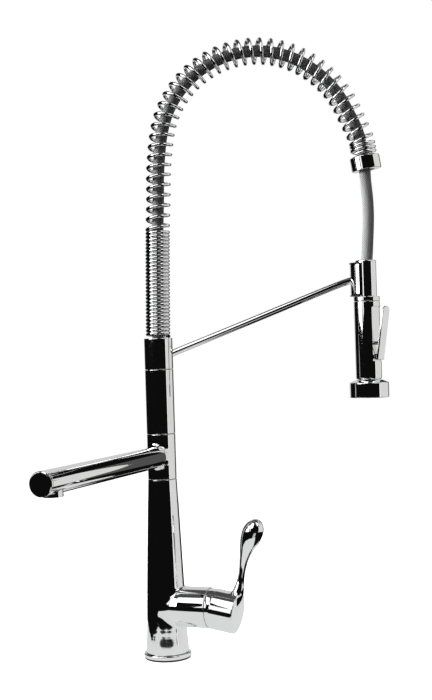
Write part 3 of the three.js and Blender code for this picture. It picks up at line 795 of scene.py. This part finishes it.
def base_web():
    """The plate inside the flange's ring, with its two inlet holes and its stud hole."""
    top = heights("base_flange")[1]
    circles = (
        ((0, 0), FLANGE_BORE + 0.1, FINE),
        ((-INLET_ASIDE, INLET_BACK), INLET_HOLE, 40),
        ((INLET_ASIDE, INLET_BACK), INLET_HOLE, 40),
        (STUD_AT, STUD_HOLE, 32),
    )
    bm = bmesh.new()
    loops = []
    for (x, y), radius, sides in circles:
        angles = [TURN * side / sides for side in range(sides)]
        verts = [bm.verts.new((x + radius * math.cos(a), y + radius * math.sin(a), 0)) for a in angles]
        loops += [bm.edges.new((a, b)) for a, b in zip(verts, verts[1:] + verts[:1])]
    bmesh.ops.triangle_fill(bm, edges=loops, use_beauty=True)
    thicken(bm, bm.faces[:], (0, 0, top - 0.1))
    return bm


def add_body():
    bottom, top = heights("faucet_body")
    neck = COLUMN + 0.1
    corners = [(FOOT, bottom - OVERRUN), (FOOT, bottom), *TAPER, (neck, top)]
    taper = [(radius, height) for radius, height in curve(corners, 8)]
    column = Turned([(0, bottom - OVERRUN), *taper, (neck, top + OVERRUN), (0, top + OVERRUN)])
    end = 58  # past the plane that cuts it
    barrel = rounded((0, 0), (BOSS - 2, 0), (BOSS, 20), (BOSS, end), (0, end))
    body = flowing([column, Turned(barrel, BOSS_AXIS @ ALONG_X)], fillet=3.0, voxel=1.0)
    cut_rim(body, (0, 0, top), (0, 0, 1), SEAM_ROUND, BORE_FOLD)
    cut_rim(body, (0, 0, bottom), (0, 0, -1), 0.5, [(4, 0), (0, -8)])
    cut_rim(body, (TILT_PIVOT - 0.3, 0, BOSS_HEIGHT), (1, 0, 0), 0.5, [(2.6, 0), (0, -20)])
    riding("faucet_body", body)

    turns = np.linspace(0, math.acos(DOME_HOLE / DOME), 14)
    arc = [(DOME * math.cos(turn), DOME * math.sin(turn)) for turn in turns]
    inside = [(0.9 * radius, 0.9 * height) for radius, height in reversed(arc)]
    riding("boss_dome", lathe([*arc, *inside], FINE), PIVOT @ ALONG_X)


def add_column():
    bottom, top = heights("mid_sleeve")
    sleeve = rounded(
        (COLUMN_BORE, bottom), (COLUMN, bottom, SEAM_ROUND), (COLUMN, top, SEAM_ROUND), (COLUMN_BORE, top)
    )
    riding("mid_sleeve", lathe(sleeve, FINE))
    for node in ("lower_slip_washer", "middle_slip_washer", "upper_slip_washer"):
        riding(node, tube(WASHER, WASHER_BORE, *heights(node), soft=0.1))


def add_spout():
    ring_bottom = heights("faucet_body")[1] + SEAM_GAP
    ring_top = heights("mid_sleeve")[0] - SEAM_GAP
    middle = (ring_bottom + ring_top) / 2
    axis = Matrix.Translation((0, 0, middle)) @ ALONG_FRONT
    end = -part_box("spout")[0][1] / MM
    low, high = ring_bottom - OVERRUN, ring_top + OVERRUN
    collar = Turned([(0, low), (COLUMN, low), (COLUMN, high), (0, high)])
    nozzle = Turned([(0, 0), (SPOUT, 0), (SPOUT, end + OVERRUN), (0, end + OVERRUN)], axis)
    spout = flowing([collar, nozzle], fillet=3.2, voxel=0.8)
    cut_rim(spout, (0, 0, ring_top), (0, 0, 1), SEAM_ROUND, BORE_FOLD)
    cut_rim(spout, (0, 0, ring_bottom), (0, 0, -1), SEAM_ROUND, BORE_FOLD)
    cut_rim(spout, (0, -end, middle), (0, -1, 0), 0.2, [(1.6, 0), (0, -10)])
    riding("spout", spout)

    reach = -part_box("spout_end_cap")[0][1] / MM
    plug = SPOUT_BORE - 0.3
    cap = rounded(
        (0, end - 5), (plug, end - 5), (plug, end + 0.25), (SPOUT, end + 0.25, 0.2),
        (SPOUT, reach - 0.9, 0.3), (SPOUT - 0.9, reach, 0.3), (0, reach),
    )
    riding("spout_end_cap", lathe(cap, FINE), axis)

    centre = Matrix.Translation((0, OUTLET_SETBACK - reach, 0))
    bottom = heights("outlet_housing")[0]
    top = middle - 6.6  # inside the spout's wall
    housing = rounded((OUTLET_BORE, bottom, 0.3), (OUTLET, bottom, 0.5), (OUTLET, top), (OUTLET_BORE, top))
    riding("outlet_housing", lathe(housing, 96), centre)
    riding("aerator_insert", aerator(), centre)
    riding("aerator_washer", tube(AERATOR, 4.6, *heights("aerator_washer")), centre)


def rectangle(left, right, bottom, top):
    return [(left, bottom), (right, bottom), (right, top), (left, top)]


def aerator():
    """A mesh screen in a rim: rings and spokes under a disc."""
    bottom, top = heights("aerator_insert")
    screen = 6.6
    disc = rounded((0, top - 1.5), (screen, top - 1.5), (screen, top), (0, top))
    parts = [tube(AERATOR, AERATOR - 0.8, bottom, top), lathe(disc, 48)]
    for radius in (1.2, 2.6, 4, 5.4):
        parts.append(tube(radius + 0.25, radius - 0.25, bottom + 0.3, top - 1.2, 0.1, 48))
    spokes = 12
    for index in range(spokes):
        spoke = plate(rectangle(0.9, screen, 0.3, 3), 0.4, 0.08)
        turned = Matrix.Rotation(TURN * index / spokes, 4, "Z")
        parts.append(placed(spoke, turned @ Matrix.Translation((-0.2, 0, bottom))))
    return joined(*parts)


# -------------------- handle

# The lever from its root in the hub to its tip: half-width, height, and how far out its middle line stands.
LEVER_SECTIONS = np.array([
    (5, 2, 24.5),
    (6.8, 14, 26.3),
    (5.8, 23, 27.6),
    (3.7, 35, 28.8),
    (3.3, 44, 29.2),
    (4.4, 55.3, 29.6),
    (6.9, 66.8, 31.3),
    (9.8, 76.7, 33.6),
    (10.9, 84.2, 35),
    (10.4, 90.7, 36),
    (7.2, 97, 37),
    (3.4, 99.9, 37.5),
    (0, 100.9, 37.6),
])


def lever_lean(height):
    """How far the lever's middle line stands out from the pivot at a height."""
    line = curve(LEVER_SECTIONS[:, 1:], 5)
    return np.interp(height, line[:, 0], line[:, 1])


HUB_HOLLOW = [(0.5, 0), (0.8, -2.5), (2, -4), (5, -5), (6, -2.5)]  # in from the rim of the hub's back


def add_handle():
    hub = rounded((0, -4), (HUB, -4), (HUB, HUB_END, 1.1), (0, HUB_END), steps=6)
    side = curve(LEVER_SECTIONS[:, :2], 5)
    lever = [(0, side[0][1]), *((max(radius, 0), height) for radius, height in side)]
    across = Matrix.Translation((SCREW_REACH, 0, 0)) @ Matrix.Rotation(-math.pi / 2, 4, "X")
    handle = flowing(
        [Turned(hub, HANDLE @ ALONG_X), Turned(lever, HANDLE, lever_lean)],
        fillet=3.5,
        voxel=0.55,
        holes=[Turned([(0, 5), (2.3, 5), (2.3, 30), (0, 30)], HANDLE @ across)],
    )
    back_face = HANDLE @ Vector((HUB_RIM, 0, 0))
    outwards = HANDLE.to_3x3() @ Vector((-1, 0, 0))
    cut_rim(handle, back_face, outwards, 0.3, HUB_HOLLOW)
    riding("lever_handle", handle)

    screw = rounded((0, 4.2), (2, 4.2), (2, 14, 0.3), (1.1, 14), (1.1, 12), (0, 12))
    riding("set_screw", lathe(screw, 32), HANDLE @ across)


# -------------------- arm, clip, spring and its hose


# The rod's middle line in the arm's plane: reach and height.
ROD_START = np.array([13.4, 319.0])
ROD_BEND = np.array([195.0, 387.2])
ROD_END = np.array([205.3, 390.3])


def rod_path():
    points = (ROD_START, (ROD_START + ROD_BEND) / 2, ROD_BEND, ROD_END)
    return curve([(reach, 0, height) for reach, height in points], 24)


def add_arm():
    bottom, top = heights("arm_collar")
    hose_hole = 7
    roof = top - 5.5
    collar = rounded(
        (COLUMN_BORE, bottom), (COLUMN, bottom, SEAM_ROUND), (COLUMN, top, 0.7),
        (hose_hole, top), (hose_hole, roof), (COLUMN_BORE, roof),
    )
    riding("arm_collar", lathe(collar, FINE), ARM)
    riding("arm_rod", sweep(rod_path(), ROD, 40), ARM)

    low, high = heights("holder_clip")
    grip = rounded((CLIP_BORE, low, 0.5), (CLIP, low, 0.9), (CLIP, high, 0.9), (CLIP_BORE, high, 0.5))
    riding("holder_clip", arc_sweep(grip, CLIP_FROM, CLIP_TO), HEAD_AXIS)
    low, high = heights("clip_liner")
    rim = 1.0
    wall = CLIP_BORE - 0.3
    lining = rounded(
        (LINER_BORE, low, 0.3), (CLIP_RIM, low, 0.3), (CLIP_RIM, low + rim, 0.3), (wall, low + rim),
        (wall, high - rim), (CLIP_RIM, high - rim, 0.3), (CLIP_RIM, high, 0.3), (LINER_BORE, high, 0.3),
    )
    riding("clip_liner", arc_sweep(lining, CLIP_FROM, CLIP_TO), HEAD_AXIS)


ARCH_CENTRE = np.array([111.9, 531.8])
ARCH = 103.0
ARCH_SAG, SAG_HEADING, SAG_WIDTH = 1.7, 46, 28  # how far the arch falls inside its circle, and where
NUT_TOP = np.array([222.7, 520.6])
NUT_BOTTOM = np.array([224.97, 505.9])
NUT = 15.7
NUT_BORE = 8.4
NUT_LENGTH = float(np.linalg.norm(NUT_TOP - NUT_BOTTOM))


def above_nut(distance):
    """A point on the nut's axis, so far above its top."""
    return NUT_TOP + (NUT_TOP - NUT_BOTTOM) * distance / NUT_LENGTH


def arch_path():
    """The spring's middle line, from the collar over the arch to the nut."""
    top = heights("arm_collar")[1]
    points = [(0, top + WIRE + 0.2), (1.4, 396), (2.9, 447), (4.6, 481), (6, 515)]
    for degrees in range(171, 18, -8):
        angle = math.radians(degrees)
        radius = ARCH - ARCH_SAG * math.exp(-(((degrees - SAG_HEADING) / SAG_WIDTH) ** 2))
        points.append(ARCH_CENTRE + radius * np.array([math.cos(angle), math.sin(angle)]))
    points += [above_nut(17), above_nut(2.8)]
    return evenly(curve([(reach, 0, height) for reach, height in points]), 3000)


CLOSED_PITCH, CLOSED_TURNS = 3.785, 29.5
OPEN_TURNS = 37.39
END_PITCH, END_TURNS = 4.2, 3
# The coil's radius to the wire's centre, against the share of its open length.
COIL_SHARES, COIL_RADII = [0, 0.27, 0.42, 0.88, 1], [11.2, 11.8, 12.6, 12.6, 12.0]


def coil_path(spine, steps_per_turn=28):
    """The wire's middle line: closed turns on the collar, open ones over the arch, and closer end turns."""
    along = lengths(spine)
    tangents = np.gradient(spine, along, axis=0)
    closed = CLOSED_PITCH * CLOSED_TURNS
    open_end = along[-1] - END_PITCH * END_TURNS
    open_turn = CLOSED_TURNS + OPEN_TURNS
    turns = open_turn + END_TURNS
    turn = np.linspace(0, turns, int(turns * steps_per_turn))
    travel = np.interp(turn, [0, CLOSED_TURNS, open_turn, turns], [0, closed, open_end, along[-1]])
    place = np.stack([np.interp(travel, along, spine[:, axis]) for axis in range(3)], axis=1)
    tangent = np.stack([np.interp(travel, along, tangents[:, axis]) for axis in range(3)], axis=1)
    radius = np.interp((travel - closed) / (along[-1] - closed), COIL_SHARES, COIL_RADII)
    place[:, 0] += radius * np.cos(TURN * turn) * tangent[:, 2]
    place[:, 2] -= radius * np.cos(TURN * turn) * tangent[:, 0]
    place[:, 1] += radius * np.sin(TURN * turn)
    return place


def add_spring():
    spine = arch_path()
    riding("arch_spring", sweep(coil_path(spine), WIRE, 14), ARM, sharp=50)

    nut = rounded(
        (NUT_BORE, 0), (NUT, 0, 0.7), (NUT, NUT_LENGTH - 1.1, 0.5),
        (NUT - 1, NUT_LENGTH, 0.5), (NUT_BORE, NUT_LENGTH),
    )
    tilt = math.atan2(NUT_TOP[0] - NUT_BOTTOM[0], NUT_TOP[1] - NUT_BOTTOM[1])
    seat = Matrix.Translation((NUT_BOTTOM[0], 0, NUT_BOTTOM[1])) @ Matrix.Rotation(tilt, 4, "Y")
    riding("spring_nut", lathe(nut, 96), ARM @ seat)

    # The hose runs from its fitting in the column through the coil and out of the nut.
    stops = evenly(spine, 23)[:-1]
    route = curve([(0, 0, 296.5), (0, 0, 320), *stops, (221, 0, 523), (223, 0, 507.4)])
    hose = riding("arch_hose", sweep(evenly(route, 420), HOSE, 40), ARM, sharp=180)
    # Painted shade: the hose inside the coil takes the braid darkened to 0.3 of its colour, standing in for
    # the coil's shadow on it.
    hose.data.materials[0] = braided("painted_shade_hose", 0.3)


# -------------------- spray head


def add_head():
    bottom, top = heights("head_neck")
    neck = rounded((NECK_BORE, bottom), (NECK, bottom), (NECK, top, 1.4), (NECK_BORE, top, 0.3))
    riding("head_neck", lathe(neck, 96), HEAD_AXIS)
    riding("neck_ring", tube(HEAD, NECK_BORE, *heights("neck_ring"), soft=0.8), HEAD_AXIS)

    bottom, top = heights("nozzle_ring")
    water_hole = 5
    nozzle = rounded(
        (NOZZLE_BORE, bottom, 0.3), (NOZZLE, bottom, 0.7), (NOZZLE, top - 2.6, 1.2), (HEAD + 0.6, top, 0.3),
        (water_hole, top), (water_hole, top - 3), (NOZZLE_BORE, top - 6),
    )
    riding("nozzle_ring", lathe(nozzle, FINE), HEAD_AXIS)
    riding("spray_face", spray_face(), HEAD_AXIS)


def spray_face():
    """A rubber face with rings of soft nubs that the water leaves through."""
    bottom, top = heights("spray_face")
    face = bottom + 1.2
    edge = NOZZLE_BORE - 0.4
    hole = 0.35
    nub = rounded((hole, bottom), (0.8, bottom, 0.25), (1.15, face + 0.2), (hole, face + 0.2))
    parts = [lathe(rounded((0, face), (edge, face, 0.4), (edge, top), (0, top)), 96)]
    for count, radius in ((6, 4.5), (12, 9), (18, 13.6)):
        for index in range(count):
            angle = TURN * index / count
            spot = Matrix.Translation((radius * math.cos(angle), radius * math.sin(angle), 0))
            parts.append(placed(lathe(nub, 14), spot))
    return joined(*parts)


RECESS_TOP = 361.8
RECESS_BOTTOM = 304.9
RECESS_FLAT = 10.0  # the flat's distance from the head's axis


def recess():
    """The room behind the squeeze lever: a deep flat with rounded upper corners."""
    half, corner = 10.5, 4.0
    middle = (half - corner, RECESS_TOP - corner)
    turns = np.linspace(0, math.pi / 2, 8)
    right = [(middle[0] + corner * math.cos(a), middle[1] + corner * math.sin(a)) for a in turns]
    left = [(-y, z) for y, z in reversed(right)]
    outline = [(-half, RECESS_BOTTOM), (half, RECESS_BOTTOM), *right, *left]
    bm = bmesh.new()
    face = bm.faces.new([bm.verts.new((RECESS_FLAT, y, z)) for y, z in outline])
    thicken(bm, [face], (12, 0, 0))
    return bm


def add_head_body():
    bottom, top = heights("head_body")
    near_recess = [(HEAD, RECESS_BOTTOM - 0.6), (HEAD, RECESS_TOP + 0.6)]
    wall = rounded(
        (HEAD_BORE, bottom), (HEAD, bottom, 2.6), *near_recess, (HEAD, top, 0.5), (HEAD_BORE, top), steps=8
    )
    body = carved(lathe(wall, 192), recess(), 0.35)
    keep_flat(body, 0.1, least=60.0)
    hinge_block = plate(rectangle(-3.6, 3.6, -2.5, 2.5), 3.5, 0.4)
    at_hinge = Matrix.Translation((LEVER_PIN[0] - 2, 0, LEVER_PIN[2]))
    riding("head_body", joined(body, placed(hinge_block, at_hinge)), LEVER_SIDE)

    sideways = Matrix.Translation(LEVER_PIN) @ Matrix.Rotation(math.pi / 2, 4, "X")
    radius, end = LEVER_PIN_RADIUS, 6.7
    pin = rounded((0, -end), (radius, -end, 0.2), (radius, end, 0.2), (0, end))
    riding("lever_pin", lathe(pin, 32), LEVER_SIDE @ sideways)
    plunger = rounded(
        (0, 3), (1.2, 3), (1.2, 6.2), (3.8, 6.2), (3.8, 7.4), (1.8, 7.4), (1.8, 14.6, 0.5), (0, 14.6)
    )
    outwards = Matrix.Translation((0, 0, LEVER_PIN[2] + PLUNGER_HEIGHT)) @ ALONG_X
    riding("valve_plunger", lathe(plunger, 32), LEVER_SIDE @ outwards)


def add_squeeze_lever():
    half, length, foot = 7.0, 53.8, -3.0
    turns = np.linspace(0, math.pi, 25)
    arc = [(half * math.cos(turn), length - half + half * math.sin(turn)) for turn in turns]
    blade = plate([(-half, foot), (half, foot), *arc], 2.4, 0.7)
    parts = [placed(blade, Matrix.Translation((2.2, 0, 0)))]
    for side in (-1, 1):
        ear = plate(rectangle(-1.1, 1.1, -2.1, 2.1), 4.1, 0.5)
        parts.append(placed(ear, Matrix.Translation((-1.75, side * 5.3, 0))))
    riding("squeeze_lever", joined(*parts), SQUEEZE)


add_base()
add_body()
add_column()
add_spout()
add_handle()
add_arm()
add_spring()
add_head()
add_head_body()
add_squeeze_lever()

# -------------------- stage and lights

# Bearings on the stage are in degrees from the camera to its right, seen from the faucet. Distances,
# levels and heights are in metres.
VIEW_HEADING = CAMERA_HEADING - math.pi / 2  # from the faucet to the camera


def unseen(thing):
    """A stage object that only shows in reflections."""
    thing.visible_camera = False
    thing.visible_shadow = False
    thing.visible_transmission = False
    thing.visible_volume_scatter = False
    return thing


def card(name, bearings, levels, distance, strength, color=(1, 1, 1), dip=0.0, lights_up=False):
    """An upright curved card between two bearings and two levels.

    dip lowers its bottom edge towards the second bearing. lights_up makes it light dull surfaces too."""
    bm = bmesh.new()
    columns = 32
    rows = []
    for column in range(columns + 1):
        share = column / columns
        angle = VIEW_HEADING + math.radians(bearings[0] + (bearings[1] - bearings[0]) * share)
        x, y = distance * math.cos(angle), distance * math.sin(angle)
        foot = levels[0] - dip * share
        rows.append([bm.verts.new((x, y, foot)), bm.verts.new((x, y, levels[1]))])
    for near, far in zip(rows, rows[1:]):
        bm.faces.new((near[0], far[0], far[1], near[1]))
    mesh = as_mesh(name, bm)
    mesh.materials.append(glowing(name, color, strength))
    thing = unseen(in_scene(name, mesh))
    thing.visible_diffuse = lights_up


def sheet(name, corners, height, strength):
    """A flat level card at a height in metres."""
    mesh = bpy.data.meshes.new(name)
    mesh.from_pydata([(x, y, height) for x, y in corners], [], [tuple(range(len(corners)))])
    mesh.materials.append(glowing(name, (1, 1, 1), strength))
    thing = unseen(in_scene(name, mesh))
    thing.visible_diffuse = False


def fan(bearings, near, far, steps=12):
    """Corners of a part of a ring round the faucet, between two bearings and two distances."""
    turns = np.linspace(*bearings, steps)
    return around([(turn, far) for turn in turns] + [(turn, near) for turn in turns[::-1]])


# The white table round the base: bearings, and how far its edge is there.
TABLE_EDGE = [
    (-90, 0.17), (-78, 0.19), (-47, 0.26), (-2, 0.255), (45, 0.28),
    (80, 0.16), (112, 0.26), (144, 0.3), (180, 0.25), (-135, 0.2),
]


def around(edge):
    """Corners round the faucet from (bearing, distance) pairs."""
    turns = [(VIEW_HEADING + math.radians(bearing), distance) for bearing, distance in edge]
    return [(distance * math.cos(turn), distance * math.sin(turn)) for turn, distance in turns]


def add_floor():
    """A pale floor that fades into the background. It keeps out of the chrome."""
    mesh = bpy.data.meshes.new("floor")
    far = 12
    mesh.from_pydata([(-far, -far, 0), (far, -far, 0), (far, far, 0), (-far, far, 0)], [], [(0, 1, 2, 3)])
    settings = {
        "Base Color": (0.8, 0.8, 0.8, 1),
        "Roughness": 0.9,
        "Specular IOR Level": 0.0,
        "Emission Color": (1, 1, 1, 1),
        "Emission Strength": 1.0,
    }
    material = bpy.data.materials.new("floor")
    material.use_nodes = True
    shader = material.node_tree.nodes["Principled BSDF"]
    for socket, value in settings.items():
        shader.inputs[socket].default_value = value
    mesh.materials.append(material)
    floor = in_scene("floor", mesh)
    floor.location.z = -0.0005  # just under the table's reflection card
    floor.visible_glossy = False
    floor.visible_diffuse = False


def add_world():
    """White behind the faucet, and a dark studio in its reflections."""
    world = bpy.data.worlds.new("studio")
    bpy.context.scene.world = world
    world.use_nodes = True
    tree = world.node_tree
    background = tree.nodes["Background"]
    path = tree.nodes.new("ShaderNodeLightPath")
    mix = tree.nodes.new("ShaderNodeMix")
    mix.data_type = "RGBA"
    mix.inputs["A"].default_value = (0.004, 0.004, 0.004, 1)
    mix.inputs["B"].default_value = (1, 1, 1, 1)
    tree.links.new(path.outputs["Is Camera Ray"], mix.inputs["Factor"])
    tree.links.new(mix.outputs["Result"], background.inputs["Color"])
    background.inputs["Strength"].default_value = 1.0


def add_side_light():
    """Soft light on the dull pieces from the left. The chrome doesn't show it."""
    data = bpy.data.lights.new("side_light", "AREA")
    data.energy = 30
    data.size = 0.2
    light = in_scene("side_light", data)
    [(x, y)] = around([(-96, 1.2)])
    spot = Vector((x, y, 0.7))
    target = Vector((0.15, 0, 0.45))
    light.location = spot
    light.rotation_euler = (spot - target).to_track_quat("Z", "Y").to_euler()
    light.visible_glossy = False


add_floor()
add_world()
add_side_light()

WARM = (1.0, 0.995, 0.975)
card("key_softbox", (-81, -50), (0.4, 3.0), distance=2.0, strength=4.0, dip=0.038, lights_up=True)
card("second_softbox", (-30, -42), (0.415, 3.0), distance=2.0, strength=1.1, dip=0.03)
card("right_wall", (65, 128), (-0.3, 1.0), distance=1.5, strength=0.72, color=WARM)
card("right_wall_end", (128, 131), (-0.3, 0.66), distance=1.5, strength=0.72, color=WARM)
card("right_shade", (131, 141), (-0.3, 0.66), distance=1.5, strength=0.08)
card("right_high", (65, 150), (1.15, 2.6), distance=1.5, strength=0.75)
card("edge_strip", (60, 64), (-0.3, 0.7), distance=1.5, strength=1.3)
card("back_sweep", (158, 206), (-0.01, 1.9), distance=1.6, strength=0.65)
sheet("table", around(TABLE_EDGE), height=-0.0003, strength=0.74)
sheet("front_ground", fan((10, 34), near=0.35, far=1.3), height=-0.25, strength=0.5)
sheet("left_overhead", fan((-62, -8), near=0.5, far=2.6), height=1.6, strength=1.6)
sheet("right_overhead", fan((40, 64), near=0.5, far=2.6), height=1.6, strength=1.6)
sheet("ceiling", rectangle(-1.6, 1.6, -1.6, 1.6), height=2.0, strength=0.07)

bpy.context.scene.view_settings.view_transform = "Standard"
